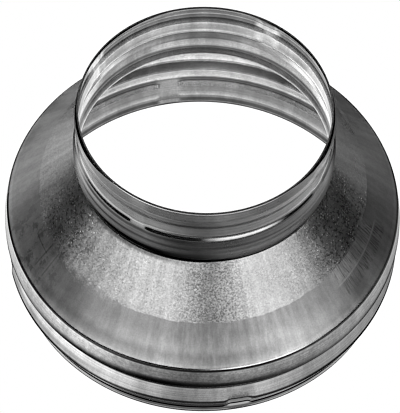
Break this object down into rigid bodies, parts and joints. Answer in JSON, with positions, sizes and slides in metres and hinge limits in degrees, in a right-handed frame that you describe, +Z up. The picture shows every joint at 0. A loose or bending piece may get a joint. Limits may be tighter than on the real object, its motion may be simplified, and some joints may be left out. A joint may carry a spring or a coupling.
{
  "type": "duct reducer",
  "caption": "Round sheet-steel reducer: a wide beaded collar, a straight cone and a narrow beaded neck, joining a wide air duct to a narrower one.",
  "frame": {"origin": "on the axis, in the plane of the large collar's rim that it stands on", "axes": "+Z up the axis from the large collar to the neck; -Y faces the viewer of the picture"},
  "size_m": [0.1992, 0.1992, 0.1234],
  "materials": {
    "galvanised_sheet": "galvanised steel, semi-bright with a fine spangle"
  },
  "bodies": {
    "root": {"reducer_shell": "galvanised_sheet"}
  },
  "joints": []
}
